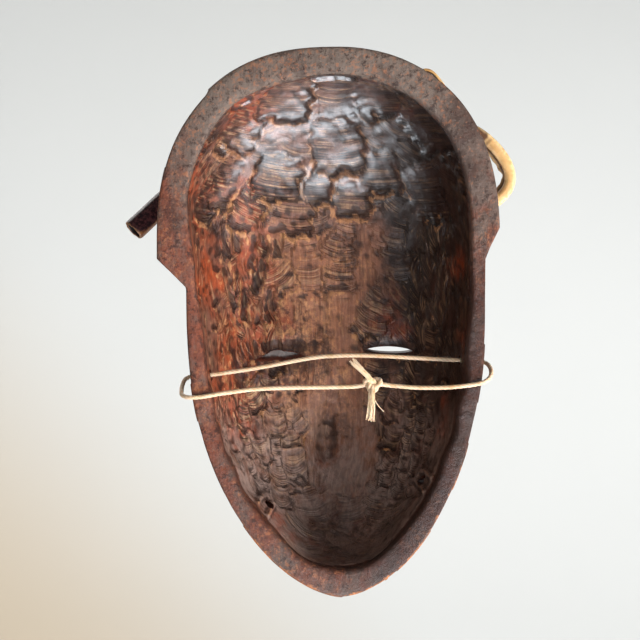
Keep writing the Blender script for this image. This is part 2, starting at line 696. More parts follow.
def outlineRadius(shape):
    # how far the outline lies from the centre, as a function of the angle
    height = shape["bottom"] + (
        (shape["top"] - shape["bottom"]) * (1 - np.cos(np.linspace(0, np.pi, 3000))) / 2
    )
    up = ramp(height, block["domeBase"], shape["top"])
    down = ramp(-height, -block["jawTop"], -shape["bottom"])
    jaw = shape["face"] * (1 - down ** block["jawPowers"][1]) ** (1 / block["jawPowers"][0])
    middle = block["chinShift"] * ramp(-height, -100, 0) ** 2
    angles, radii = [], []
    for sign, cap, power, step in shape["sides"]:
        dome = cap * (1 - up**power) ** (1 / power)
        x = middle + sign * (jaw + (dome - jaw) * ramp(height, *step))
        angles.append(np.arctan2(height - centreHeight, x))
        radii.append(np.hypot(x, height - centreHeight))
    angles, radii = np.concatenate(angles), np.concatenate(radii)
    order = np.argsort(angles)
    return lambda angle: np.interp(angle, angles[order], radii[order], period=2 * np.pi)


def shapeOf(top, bottom, face, capLeft, capRight, stepLeft, stepRight):
    sides = ((1, capLeft, 2.4, stepLeft), (-1, capRight, 2.2, stepRight))
    return outlineRadius({"top": top, "bottom": bottom, "face": face, "sides": sides})


blockRadius = shapeOf(
    block["height"], 0, block["face"], block["capLeft"], block["capRight"], block["stepLeft"],
    block["stepRight"]
)
smoothRadius = shapeOf(
    block["height"], 0, block["face"], block["capLeft"], block["capRight"], block["fadeStep"],
    block["fadeStep"]
)
hollowRadius = shapeOf(
    block["height"] - hollow["rimTop"], hollow["rimChin"], block["face"] - hollow["rimSide"],
    block["capLeft"] - hollow["rimCap"], block["capRight"] - hollow["rimCap"], hollow["step"],
    hollow["step"],
)


def wallOf(reach, power):
    return (1 - np.clip(reach, 0, 1) ** power) ** (1 / power)


def blockReach(x, z):
    angle, far = np.arctan2(z - centreHeight, x), np.hypot(x, z - centreHeight)
    edge = np.minimum(far / blockRadius(angle), 1)
    inner = np.minimum(far / smoothRadius(angle), 1)
    return inner + (edge - inner) * soft(edge, 0.72, 0.98)


def capEdge(x):
    return hairline - (hairline - block["stepRight"][0] + 6) * np.abs(x / block["face"]) ** 2.4


def noseRise(x, z):
    # a calm straight nose: bridge, rounded tip, wings and the hollows of the nostrils
    tip, root = noseBase + 8, browHeight - 7
    along = ramp(-z, -root, -tip)
    high = 4 + 18 * along**1.35
    wide = 6.5 + 4.5 * along
    ends = soft(z, noseBase - 5, tip - 1) * (1 - soft(z, root, root + 16))
    wings = 8 * hill(np.abs(x) - 11, z - noseBase - 6, 6, 7)
    nostril = -4 * hill(np.abs(x) - 6.5, z - noseBase + 1.5, 4, 3)
    return high * ends * np.exp(-((np.abs(x) / wide) ** 2.4)) + wings + nostril


def faceRise(x, z):
    side = np.abs(x)
    arch = z - browHeight - 2 + (side - 30) ** 2 / 260
    brow = 4 * hill(side - 30, arch, 26, 6)
    socket = -7 * hill(side - eyeWidth, z - eyeHeight - 1, 19, 11)
    lid = 5 * hill(side - eyeWidth, z - eyeHeight, 14, 6.5)
    lidLine = -1.3 * hill(side - eyeWidth, z - eyeHeight - 5.5 + (side - eyeWidth) ** 2 / 60, 13, 0.9)
    cheek = 5 * hill(side - 43, z - 0.72 * eyeHeight, 20, 19)
    muzzle = 4 * hill(x, z - mouthHeight, 30, 22)
    bow = 1.2 * hill(side, 0, 4, 1)
    lips = 4 * hill(x, z - mouthHeight - 6 + bow, 23, 4.5) + 5 * hill(x, z - mouthHeight + 7, 19, 5.5)
    seam = -3 * hill(x, z - mouthHeight - 0.8 * np.cos(x / 8), 25, 1.9)
    groove = -1.6 * hill(x, z - (mouthHeight + noseBase) / 2 - 3, 3.2, 7)
    fold = -1.3 * hill(side - 19 - (noseBase - z) * 0.5, 0, 2.6, 1) * hill(0, z - noseBase + 4, 1, 14)
    chin = 8 * hill(x, z - 18, 19, 15)
    return (
        brow + socket + lid + lidLine + cheek + muzzle + lips + seam + groove + fold + chin + noseRise(x, z)
    )


def frontDepth(x, z):
    above = z - capEdge(x)
    roll = 6 * soft(above, -8, 5) + 4 * hill(0, above - 7, 1, 8)
    bow = 1 - 0.16 * (x / block["face"]) ** 2 - 0.1 * ((z - eyeHeight) / headHeight) ** 2
    return wallOf(blockReach(x, z), block["wallPower"]) * (block["faceDepth"] * bow + faceRise(x, z) + roll)


def hollowPower(z):
    return hollow["power"] - 0.55 * soft(z, 175, 235)  # the crown is dished rounder than the sides


def hollowDepth(reach, x, z):
    nose = hollow["nose"] * hill(x, z - noseBase - 12, 12, 20)
    return wallOf(reach, hollowPower(z)) * (block["faceDepth"] - hollow["wall"] - hollow["edgeDepth"]
                                            + nose)


def evenShares(power, depth, across):
    # shares of the radius that come out evenly spaced along a bowl of this depth
    t = np.linspace(0, np.pi / 2, 2000)
    share = np.sin(t) ** (2 / power)
    line = np.stack([share * across, depth * np.cos(t) ** (2 / power)], axis=1)
    gone = travelled(line)
    return lambda q: np.interp(q * gone[-1], gone, share)


def discGrid(across, up, wide=110, tall=185):
    # a grid of squares pulled out to a round disc: how far out each point is, and at what angle
    a = np.linspace(-1, 1, across + 1)[None, :]
    b = np.linspace(-1, 1, up + 1)[:, None]
    u = a * np.sqrt(1 - b**2 / 2)
    v = b * np.sqrt(1 - a**2 / 2)
    return np.minimum(np.hypot(u, v), 1), np.arctan2(v * tall, u * wide)


def edgeOf(rows, columns):
    # the indices round the edge of a grid, anticlockwise from its lower left corner
    index = np.arange(rows * columns).reshape(rows, columns)
    return np.concatenate([index[0, :-1], index[:-1, -1], index[-1, :0:-1], index[:0:-1, 0]])


def surfaceNormals(points):
    normal = np.cross(np.gradient(points, axis=1), np.gradient(points, axis=0))
    return normal / np.maximum(np.linalg.norm(normal, axis=2), 1e-9)[..., None]


def waves(points, seed, size, count=7):
    # smooth made-up unevenness from a few crossed sine waves, about -1 to 1
    random = np.random.default_rng(seed)
    total = np.zeros(points.shape[:-1])
    for _ in range(count):
        direction = random.normal(size=points.shape[-1])
        direction *= random.uniform(0.6, 1.5) / np.linalg.norm(direction)
        total += np.sin(points @ direction * 2 * np.pi / size + random.uniform(0, 2 * np.pi))
    return total / np.sqrt(count) / 1.1


# wide scoops in the crown, each placed on its own: x, z, heading, half width, half length, level
boldCuts = [
    (26, 258, -80, 18, 21, 2.0), (49, 243, -62, 15, 20, 1.2), (31, 219, -80, 16, 16, 1.3),
    (-1, 236, -97, 17, 20, 1.6), (60, 214, -66, 10, 17, 1.1), (47, 203, -58, 11, 16, 0.9),
    (24, 200, -84, 15, 14, 0.8), (-22, 258, -104, 15, 18, 1.0), (-48, 242, -124, 18, 23, 1.8),
    (-24, 222, -98, 13, 15, 1.1), (-50, 211, -112, 14, 20, 1.2), (9, 213, -96, 9, 10, 1.5),
    (-10, 208, -92, 11, 12, 1.6), (2, 274, -92, 18, 12, 0.9), (-36, 268, -106, 15, 12, 1.2),
    (54, 262, -56, 15, 12, 1.0), (-66, 220, -120, 13, 19, 1.0), (69, 234, -45, 12, 18, 0.9),
    (68, 206, -60, 11, 15, 1.0), (-64, 250, -132, 12, 16, 0.9),
]
# the other cuts, family by family: where, how wide, long and deep (mm), which way the tool went,
# and how the marks lie in each cut: pitch (mm), across or along, how much they bow, how deep they are
gougeFamilies = [
    {"name": "crown", "ring": (74, 215, 25), "turn": (14, 166), "wide": 13, "long": 20, "deep": 0.9,
     "level": 0.3,
     "pitch": 1.7, "along": 0, "bow": 0.03, "mark": 0.8},
    {"name": "leftFlutes", "box": (36, 70, 122, 200), "wide": 4.4, "long": 17, "deep": 1.7, "level": 0.9,
     "heading": -96,
     "pitch": 1.7, "along": 1, "bow": 0.04, "mark": 1.2},
    {"name": "leftScales", "box": (70, 112, 50, 235), "wide": 6.5, "long": 13, "deep": 1.2, "level": 0.6,
     "heading": -92,
     "pitch": 1.9, "along": 1, "bow": 0.02, "mark": 0.7, "share": 0.75},
    {"name": "rightFlutes", "box": (-80, -42, 120, 205), "wide": 5, "long": 17, "deep": 1.5, "level": 0.6,
     "heading": -86,
     "pitch": 1.6, "along": 1, "bow": 0.04, "mark": 1.0},
    {"name": "rightArcs", "box": (-62, -16, 104, 150), "wide": 15, "long": 15, "deep": 1.0, "level": 0.5,
     "heading": -76,
     "pitch": 3.0, "along": 0, "bow": 0.03, "mark": 0.9},
    {"name": "lowerLeft", "box": (26, 62, 36, 108), "wide": 8.5, "long": 12, "deep": 1.8, "level": 0.9,
     "heading": -100,
     "pitch": 3.4, "along": 0, "bow": 0.07, "mark": 1.5},
    {"name": "lowerRight", "box": (-66, -30, 30, 100), "wide": 7.5, "long": 11, "deep": 1.6, "level": 0.8,
     "heading": -78,
     "pitch": 2.8, "along": 0, "bow": 0.07, "mark": 1.1},
    {"name": "chinBowl", "box": (-30, 30, -30, 40), "wide": 17, "long": 17, "deep": 1.2, "level": 0.5,
     "heading": -90,
     "pitch": 2.6, "along": 0, "bow": 0.02, "mark": 2.0},
    {"name": "middle", "box": (-34, 34, 46, 190), "wide": 16, "long": 30, "deep": 0.5, "level": 0.25,
     "heading": -92,
     "pitch": 1.5, "along": 1, "bow": 0.0, "mark": 0.5},
]


def unrolled(share, radius):
    # how far a place lies from the middle once the bowl is rolled out flat, so that cuts keep their
    # shape on its wall
    return share * radius + 0.8 * (1 - wallOf(share, hollow["power"])) * 62


def gougeCuts():
    # the cuts of every family, as places in the unrolled bowl
    cuts = []
    for number, family in enumerate(gougeFamilies):
        random = np.random.default_rng(300 + number)
        wide, length = family["wide"], family["long"]
        spots = []
        if "ring" in family:
            low, high, step = family["ring"]
            for row, far in enumerate(np.arange(low, high, step)):
                stride = math.degrees(1.6 * wide / far)
                for turn in np.arange(family["turn"][0] + stride * (row % 2) / 2, family["turn"][1],
                                      stride):
                    angle = math.radians(turn + random.uniform(-0.3, 0.3) * stride)
                    reach = far + random.uniform(-0.4, 0.4) * step
                    spots.append((reach * math.cos(angle), centreHeight + reach * math.sin(angle),
                                  turn + 180))
        else:
            left, right, low, high = family["box"]
            for x in np.arange(left, right, 1.35 * wide):
                offset = random.uniform(0, 1) * length
                for z in np.arange(low + offset, high, 1.3 * length):
                    spots.append((x + random.uniform(-0.4, 0.4) * wide,
                                  z + random.uniform(-0.2, 0.2) * length,
                                  family["heading"]))
        for x, z, heading in spots:
            if random.uniform() > family.get("share", 1):
                continue
            cuts.append({
                "x": x, "z": z, "heading": math.radians(heading + random.normal() * 9),
                "wide": wide * random.uniform(0.7, 1.35), "long": length * random.uniform(0.7, 1.35),
                "deep": family["deep"] * random.uniform(0.7, 1.2),
                "level": family["level"] * random.uniform(-0.4, 1.0),
                "tone": random.uniform(), "pitch": family["pitch"] * random.uniform(0.8, 1.25),
                "along": family["along"], "bow": family["bow"],
                "mark": family["mark"] * random.uniform(0.5, 1.2),
                "phase": random.uniform(0, 40),
            })
    random = np.random.default_rng(299)
    for x, z, heading, wide, length, level in boldCuts:
        angle = math.atan2(z - centreHeight, x)
        radius = float(hollowRadius(angle))
        far = float(unrolled(min(math.hypot(x, z - centreHeight) / radius, 1), radius))
        cuts.append({
            "x": far * math.cos(angle), "z": centreHeight + far * math.sin(angle),
            "heading": math.radians(heading),
            "wide": wide, "long": length, "deep": 1.5, "level": level + 0.3, "tone": random.uniform(),
            "pitch": random.uniform(1.5, 2.3), "along": 0, "bow": 0.012, "mark": random.uniform(0.6, 1.3),
            "phase": random.uniform(0, 40),
        })
    return cuts


def carve(x, z, cuts):
    # the deepest cut wins at each point; the second deepest tells how near a ridge is
    best = np.zeros(x.shape)
    second = np.zeros(x.shape)
    phase, mark, tone = np.zeros(x.shape), np.zeros(x.shape), np.full(x.shape, 0.5)
    ripple = 0.11 * waves(np.stack([x, z], axis=-1), 41, 11)
    for cut in cuts:
        far = 1.5 * max(cut["wide"], cut["long"])
        near = np.nonzero((np.abs(x - cut["x"]) < far) & (np.abs(z - cut["z"]) < far))[0]
        dx, dz = x[near] - cut["x"], z[near] - cut["z"]
        along = dx * math.cos(cut["heading"]) + dz * math.sin(cut["heading"])
        across = dz * math.cos(cut["heading"]) - dx * math.sin(cut["heading"])
        run = along / cut["long"] + ripple[near]
        # narrow where it goes in
        side = np.abs(across / cut["wide"] + ripple[near]) * (1 + 0.22 * np.minimum(run, 0) ** 2)
        entry = np.sqrt(np.clip(1 - np.minimum(run, 0) ** 2, 0, 1))  # the tool goes in gently
        stop = 1 - soft(run, 0.86, 0.98)  # and is stopped short
        wall = 1 - soft(side, 0.86, 1.0)
        depth = (cut["level"] + cut["deep"] * (1 - side**2) * (0.7 + 0.3 * run)) * entry * stop * wall
        depth = np.where((np.abs(run) < 1) & (side < 1), depth, 0)
        wins = depth > best[near]
        second[near] = np.where(wins, best[near], np.maximum(second[near], depth))
        chosen = near[wins]
        best[chosen] = depth[wins]
        way, other = (across, along) if cut["along"] else (along, across)
        phase[chosen] = (cut["phase"] + (way + cut["bow"] * other**2) / cut["pitch"])[wins]
        mark[chosen] = cut["mark"]
        tone[chosen] = cut["tone"]
    ridge = np.exp(-(((best - second) / 0.25) ** 2))
    return best, {"phase": phase, "mark": mark * (1 - 0.6 * ridge), "tone": tone}


jawHoles = [(38, 43), (48, 56)]  # how far out and how high each lies


def insideGrid():
    across, up = meshing["inside"]
    q, angle = discGrid(across, up)
    share = evenShares(hollow["power"], 62, 92)(q)
    radius = hollowRadius(angle) + 0.7 * waves(np.stack([np.cos(angle), np.sin(angle)], -1) * 90, 5, 34)
    x = share * radius * np.cos(angle)
    z = centreHeight + share * radius * np.sin(angle)
    depth = hollow["edgeDepth"] + hollowDepth(share, x, z)
    points = np.stack([x, -depth, z], axis=-1)
    flat = unrolled(share, radius)
    flatX, flatZ = flat * np.cos(angle), centreHeight + flat * np.sin(angle)
    cutDepth, marks = carve(flatX.ravel(), flatZ.ravel(), gougeCuts())
    cutDepth = cutDepth.reshape(x.shape)
    marks = {name: value.reshape(x.shape) for name, value in marks.items()}
    spot = np.stack([flatX, flatZ], axis=-1)
    # wood cleared round the eye slits
    sockets = 3.5 * hill(np.abs(x) - eyeWidth, z - eyeHeight - 1, 17, 5.5)
    dent = 2.6 * np.exp(-((((x - 4) / 6.5) ** 2 + ((z - noseBase - 3) / 13) ** 2) ** 2))
    swirls = sum(-1.3 * np.exp(-(((np.hypot(x - side * across, z - height) - 4.2) / 1.3) ** 2))
                 for side, (across, height) in zip((1, -1), jawHoles))  # wood pushed up round the holes
    push = swirls + cutDepth - 0.9 + 0.5 * waves(spot, 8, 45) + 0.12 * waves(spot, 9, 9) + sockets + dent
    push *= soft(depth, hollow["edgeDepth"] + 0.2, hollow["edgeDepth"] + 5)
    normal = surfaceNormals(points)
    normal *= np.sign(normal[..., 1:2]) * -1  # into the wood, away from the opening
    return points + normal * push[..., None], marks


def outsideGrid():
    across, up = meshing["outside"]
    q, angle = discGrid(across, up, 115, 190)
    share = evenShares(block["wallPower"], 80, 105)(q)
    radius = rimOuter(angle)
    x = share * radius * np.cos(angle)
    z = centreHeight + share * radius * np.sin(angle)
    depth = block["edgeDepth"] + frontDepth(x, z) * (1 - block["edgeDepth"] / block["faceDepth"])
    points = np.stack([x, -depth, z], axis=-1)
    above = z - capEdge(x)
    random = np.random.default_rng(77)
    spots = np.stack([x, z], axis=-1)
    # the cap is left from a shallow gouge in rows that run up to the crown, the face is scraped smooth
    cuts = []
    for row, far in enumerate(np.arange(70, 215, 15)):
        stride = math.degrees(13 / far)
        for turn in np.arange(-5 + stride * (row % 2) / 2, 185, stride):
            angleHere = math.radians(turn + random.uniform(-0.2, 0.2) * stride)
            cuts.append({
                "x": far * math.cos(angleHere), "z": centreHeight + far * math.sin(angleHere),
                "heading": math.radians(turn + 180) + random.normal() * 0.1, "wide": 8.5, "long": 13,
                "deep": random.uniform(0.8, 1.3), "level": random.uniform(-0.2, 0.4),
                "tone": random.uniform(), "pitch": 1.6,
                "along": 1, "bow": 0.0, "mark": 0.35, "phase": random.uniform(0, 40),
            })
    flat = share * radius + 0.7 * (1 - wallOf(share, block["wallPower"])) * 60
    cutDepth, marks = carve((flat * np.cos(angle)).ravel(), (centreHeight + flat * np.sin(angle)).ravel(),
                            cuts)
    onCap = soft(above, 1, 6)
    cutDepth = cutDepth.reshape(x.shape) * onCap
    marks = {name: value.reshape(x.shape) for name, value in marks.items()}
    marks["mark"] = marks["mark"] * onCap
    push = cutDepth - 0.4 * onCap + (0.25 * waves(spots, 31, 26)
                                     + 0.1 * waves(spots, 32, 8)) * soft(1 - share, 0.05, 0.4)
    push *= soft(1 - share, 0.0, 0.04)
    normal = surfaceNormals(points)
    normal *= np.sign(normal[..., 1:2])  # in from the front
    return points + normal * push[..., None], marks, share


def rimOuter(angle):
    # the outline as a knife leaves it: a little uneven, with one small step high on the left
    around = np.stack([np.cos(angle), np.sin(angle)], -1) * 120
    nick = soft(angle, math.radians(50),
                math.radians(66.5)) * (1 - soft(angle, math.radians(66.8), math.radians(67.6)))
    full = 2.0 * np.exp(-(((angle - math.radians(117)) / math.radians(12)) ** 2))  # fuller beside the loops
    return (
        blockRadius(angle) + full + 0.16 * waves(around, 3, 90) + 0.04 * waves(around, 4, 21) - 1.1 * nick
    )


def joinRings(first, second, firstAngles, secondAngles):
    # triangles between two rings with different numbers of points, both anticlockwise
    i = j = 0
    faces = []
    while i < len(first) or j < len(second):
        nextFirst = firstAngles[i] if i < len(first) else math.inf
        nextSecond = secondAngles[j] if j < len(second) else math.inf
        a, b = first[i % len(first)], second[j % len(second)]
        if nextFirst < nextSecond:
            faces.append([a, b, first[(i + 1) % len(first)]])
            i += 1
        else:
            faces.append([a, b, second[(j + 1) % len(second)]])
            j += 1
    return faces


def ringAt(angle, radius, depth):
    return np.stack([radius * np.cos(angle), -depth, centreHeight + radius * np.sin(angle)], axis=-1)


def curvature(points):
    # positive on ridges and edges, negative in grooves, in millimetres over about two cells
    total = np.zeros(points.shape)
    for axis in (0, 1):
        for step in (-2, 2):
            moved = np.roll(points, step, axis=axis)
            total += moved
    return total / 4 - points


def shellMesh():
    # inner bowl, rounded inner edge, flat rim, outer edge and front, as one closed skin
    inner, innerMarks = insideGrid()
    outer, outerMarks, outerShare = outsideGrid()
    blocks, marks = [inner.reshape(-1, 3)], {}
    innerEdge = edgeOf(*inner.shape[:2])
    outerEdge = edgeOf(*outer.shape[:2])
    innerAngle = np.unwrap(np.arctan2(*(inner.reshape(-1, 3)[innerEdge][:, [2, 0]] - (centreHeight, 0)).T))
    outerAngle = np.unwrap(np.arctan2(*(outer.reshape(-1, 3)[outerEdge][:, [2, 0]] - (centreHeight, 0)).T))
    innerRadius = np.hypot(*(inner.reshape(-1, 3)[innerEdge][:, [0, 2]] - (0, centreHeight)).T)
    outerRadius = rimOuter(outerAngle)
    rimRows = [
        (innerAngle, innerRadius + off, depth)
        for off, depth in ((0.5, 2.1), (1.2, 0.95), (2.2, 0.32), (3.5, 0.08))
    ]
    innerRows = len(rimRows)
    innerLine = np.interp(outerAngle, innerAngle, innerRadius, period=2 * np.pi) + 3.5
    for share in (0.4, 0.8):
        rimRows.append((outerAngle, innerLine + (outerRadius - 1.6 - innerLine) * share, 0.03))
    rimRows += [(outerAngle, outerRadius - 1.4, 0.04), (outerAngle, outerRadius - 0.5, 0.35)]
    faces = gridFaces(inner.shape[0], inner.shape[1], wrap=False)
    counts = [len(blocks[0])]
    ringStarts = []
    for angle, radius, depth in rimRows:
        ring = ringAt(angle, radius, np.full(angle.shape, depth))
        flat = ring[:, [0, 2]]
        ring[:, 1] -= 0.22 + 0.16 * waves(flat, 41, 30) + 0.06 * waves(flat, 42, 7)
        ringStarts.append(sum(counts))
        counts.append(len(ring))
        blocks.append(ring)
    rings = [innerEdge] + [np.arange(n, n + c) for n, c in zip(ringStarts, counts[1:])]
    outerStart = sum(counts)
    blocks.append(outer.reshape(-1, 3))
    rings.append(outerEdge + outerStart)
    faces += gridFaces(outer.shape[0], outer.shape[1], outerStart, wrap=False)
    for number, (a, b) in enumerate(zip(rings[:-1], rings[1:])):
        if number == innerRows:
            faces += joinRings(a.tolist(), b.tolist(), innerAngle, outerAngle)
        else:
            faces += np.stack([a, np.roll(a, -1), np.roll(b, -1), b], axis=1).tolist()
    rimCount = sum(counts[1:])
    for name in innerMarks:
        still = np.full(rimCount, 0.5 if name == "tone" else 0.0)
        marks[name] = np.concatenate([innerMarks[name].ravel(), still, outerMarks[name].ravel()])
    sunk = -inner[..., 1].ravel() - hollow["edgeDepth"]
    marks["inside"] = (
        np.concatenate([soft(sunk, 0.2, 3.5), np.zeros(rimCount + outer.shape[0] * outer.shape[1])])
    )
    marks["rim"] = np.concatenate([
        1 - soft(sunk, 0.0, 2.5), np.ones(rimCount), 1 - soft(1 - outerShare.ravel(), 0.0, 0.002)
    ])
    steps = np.linspace(0, 1, len(rimRows) + 2)[1:-1]  # how far across the rim each ring lies
    marks["rimAcross"] = np.concatenate([
        np.zeros(counts[0]), *[np.full(c, t) for c, t in zip(counts[1:], steps)], np.ones(len(blocks[-1]))
    ])
    bends = []
    for grid in (inner, outer):
        normal = surfaceNormals(grid)
        normal *= np.sign(normal[..., 1:2]) * (1 if grid is inner else -1)
        bends.append(-(curvature(grid) * normal).sum(axis=2))
    bends = [np.where(np.abs(b) < 3, b, 0).ravel() for b in bends]
    marks["bend"] = np.concatenate([bends[0], np.zeros(rimCount), bends[1]])
    return np.vstack(blocks), faces, marks


def prism(outline, centre, deep, lean):
    # a closed block with this outline, running through the shell along Y and rising by the lean towards
    # the front
    count = len(outline)
    near = [(centre[0] + x, centre[1] + deep, centre[2] + z - lean * deep) for x, z in outline]
    far = [(centre[0] + x, centre[1] - deep, centre[2] + z + lean * deep) for x, z in outline]
    faces = [list(range(count)), list(range(2 * count - 1, count - 1, -1))]
    faces += [[i, (i + 1) % count, count + (i + 1) % count, count + i][::-1] for i in range(count)]
    return near + far, faces


def rod(start, end, radius, seed, sides=22):
    # a round cutter that isn't quite true, as an awl or a hot wire leaves a hole
    points = np.linspace(start, end, 9)
    side, up = framesAlong(points)
    turn = np.linspace(0, 2 * np.pi, sides, endpoint=False)
    reach = radius * (1 + 0.09 * np.sin(2 * turn + seed) + 0.05 * np.sin(5 * turn + 2 * seed))
    sideways, upwards = (reach * np.cos(turn))[:, None], (reach * np.sin(turn))[:, None]
    body = points[:, None] + sideways * side[:, None] + upwards * up[:, None]
    faces = gridFaces(len(points), sides)
    faces += [list(range(sides))[::-1], list(range(len(points) * sides - sides, len(points) * sides))]
    return body.reshape(-1, 3).tolist(), faces


holes = {
    "eyeHeight": 4.0, "eyeHalf": eyeWidth / 2 - 2, "eyeLean": (0.5, 0.12), "cord": 5.2, "cordDeep": 18.4,
    "cordHeights": (112, 120), "jaw": 4.6,
}


def cutHoles(shell):
    steps = np.linspace(0, 2 * np.pi, 44, endpoint=False)
    almond = [(holes["eyeHalf"] * math.cos(t),
               0.5 * holes["eyeHeight"] * math.sin(t) * abs(math.sin(t)) ** 0.35)
              for t in steps]
    parts = [
        prism(almond, (side * eyeWidth, -70, eyeHeight), 45, lean)
        for side, lean in zip((1, -1), holes["eyeLean"])
    ]
    deep = -holes["cordDeep"]
    for side, height in zip((1, -1), holes["cordHeights"]):
        parts.append(rod((side * 40, deep, height), (side * 92, deep, height), holes["cord"] / 2,
                         seed=side))
    for side, (across, height) in zip((1, -1), jawHoles):
        parts.append(rod((side * (across - 20), -2, height + 4), (side * (across + 30), -82, height - 8),
                         holes["jaw"] / 2, seed=2 + side))
    vertices, faces = [], []
    for body, sides in parts:
        faces += [[len(vertices) + i for i in face] for face in sides]
        vertices += body
    cutter = newPiece("cutter", place(vertices), faces, shell.data.materials[0])
    turnOutwards(cutter)
    step = shell.modifiers.new("holes", "BOOLEAN")
    step.operation = "DIFFERENCE"
    step.solver = "MANIFOLD"
    step.object = cutter
    made = bpy.data.meshes.new_from_object(shell.evaluated_get(bpy.context.evaluated_depsgraph_get()))
    shell.modifiers.clear()
    shell.data = made
    bpy.data.objects.remove(cutter)


def makeShell():
    vertices, faces, marks = shellMesh()
    shell = newPiece("carvedShell", place(vertices), faces, wood, attributes=marks)
    turnOutwards(shell)
    cutHoles(shell)
    hand(shell, "varnished_wood", "mask_shell")
    print("shell carved:", len(shell.data.polygons), "faces")


makeShell()


# where things sit on the front
def frontPoint(x, z):
    return np.array((x, -float(frontDepth(x, z)), z))


def frontNormal(x, z, small=2.0):
    slopeX = float(frontDepth(x + small, z) - frontDepth(x - small, z)) / (2 * small)
    slopeZ = float(frontDepth(x, z + small) - frontDepth(x, z - small)) / (2 * small)
    normal = np.array((-slopeX, -1.0, -slopeZ))
    return normal / np.linalg.norm(normal)


def footOnFront(point):
    foot = np.array(point, float)
    for _ in range(12):
        out = frontNormal(foot[0], foot[2])
        surface = frontPoint(foot[0], foot[2])
        foot = point - out * (point - surface).dot(out)
    return surface, out


def unit(vector):
    return np.asarray(vector, float) / np.linalg.norm(vector)


def boxMiddle(node):
    low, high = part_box(node)
    middle = (low + high) / 2 * 1000
    return np.array((middle.x, middle.y, middle.z + hangHeight))


# the cane tube
caneSettings = {"outer": 12.4, "bore": 9.4, "length": 80, "direction": (0.67, 0.27, -0.69), "sides": 72,
                "node": 31,
                "flutes": 11, "endRough": 0.3}
caneWay = unit(caneSettings["direction"])
caneMiddle = boxMiddle("cane_tube")
caneTip = caneMiddle + caneWay * caneSettings["length"] / 2


def makeCane():
    # a swept wall: up the outside from the lower end, over the top and back down the bore
    c = caneSettings
    sides = c["sides"]
    turn = np.linspace(0, 2 * np.pi, sides, endpoint=False)
    side = unit(np.cross(caneWay, (0, 1, 0)))
    up = np.cross(caneWay, side)
    outer, bore = c["outer"] / 2, c["bore"] / 2
    random = np.random.default_rng(21)
    flute = sum(random.uniform(0.3, 1) * np.cos(k * turn + random.uniform(0, 6))
                for k in (2, 3, 5, 8, c["flutes"])) * 0.055
    rows = []  # distance from the tip, radius, edge wear, bore darkness
    for gone in np.concatenate([[0.05, 0.35, 0.9, 1.8], np.linspace(3.2, c["length"] - 3, 90),
                                [c["length"] - 1, c["length"] - 0.2]]):
        lip = 0.55 * math.exp(-gone / 0.7) + 0.4 * math.exp(-(c["length"] - gone) / 0.7)
        past = gone - c["node"]
        ring = 0.5 * math.exp(-((past / 1.3) ** 2)) - 0.28 * math.exp(-(((past - 2.4) / 1.1) ** 2))
        rows.append((gone, outer - lip + ring - 0.12 * math.sin(gone / 17), math.exp(-gone / 1.6), 0))
    for gone in (c["length"] - 0.1, c["length"] - 0.6):
        rows.append((gone, bore + 0.55 if gone > c["length"] - 0.3 else bore, 0.4, 0.5))
    for gone in np.linspace(c["length"] - 2, 1.2, 36):
        rows.append((gone, bore, 0, 1))
    rows.append((0.35, bore + 0.12, 0.7, 0.35))
    rows.append((0.0, bore + 0.5, 1.0, 0.0))
    vertices, marks = [], {"length": [], "around": [], "edge": [], "bore": []}
    chips = c["endRough"] * np.clip(np.sin(3 * turn + 1) * 0.4 + np.sin(7 * turn) * 0.35
                                    + np.sin(13 * turn + 2) * 0.25, -0.3, 1)
    for gone, radius, edge, dark in rows:
        shift = gone + chips * math.exp(-gone / 2.5)
        reach = radius + flute * (1 - 0.6 * dark)
        bent = 0.9 * math.sin(gone / c["length"] * math.pi) - 0.6  # the cane is not quite straight
        spots = caneTip - np.outer(shift, caneWay) + (reach * np.cos(turn))[:, None] * side
        vertices.append(spots + (reach * np.sin(turn) + bent * 0.4)[:, None] * up)
        marks["length"] += [gone] * sides
        marks["around"] += (turn / (2 * math.pi)).tolist()
        marks["edge"] += [edge] * sides
        marks["bore"] += [dark] * sides
    marks["around"] = np.abs(np.array(marks["around"]) * 2 - 1)  # folded, so the pattern meets itself
    faces = gridFaces(len(rows), sides)
    last = (len(rows) - 1) * sides
    faces += [[last + j, last + (j + 1) % sides, (j + 1) % sides, j] for j in range(sides)]
    handMesh("plumeCane", np.vstack(vertices), faces, cane, marks, "lacquered_cane", "cane_tube")


makeCane()


# a generic closed strip of hide along a path
def sweepSection(path, across, out, sections, extra=None):
    # sections: one closed row of (across, out) offsets for each point of the path
    rows, count = len(path), len(sections[0])
    body = path[:, None] + sections[..., 0:1] * across[:, None] + sections[..., 1:2] * out[:, None]
    faces = gridFaces(rows, count)
    vertices = np.vstack([body.reshape(-1, 3), body[0].mean(axis=0), body[-1].mean(axis=0)])
    first, last, end = rows * count, rows * count + 1, (rows - 1) * count
    faces += [[first, (j + 1) % count, j] for j in range(count)]
    faces += [[last, end + j, end + (j + 1) % count] for j in range(count)]
    marks = {name: np.concatenate([np.asarray(v).reshape(-1), [0, 0]]) for name, v in (extra or {}).items()}
    return vertices, faces, marks


def ovalSection(wide, thick, count=20, square=3.2):
    turn = np.linspace(0, 2 * np.pi, count, endpoint=False)
    c, s = np.cos(turn), np.sin(turn)
    return np.stack([
        wide / 2 * np.sign(c) * np.abs(c) ** (2 / square),
        thick / 2 * np.sign(s) * np.abs(s) ** (2 / square)
    ], axis=1)


# the brow band
bandSettings = {"wide": 8, "thick": 1.8, "above": 15, "reach": 66, "steps": 220, "gap": 0.3, "tacks": 5}


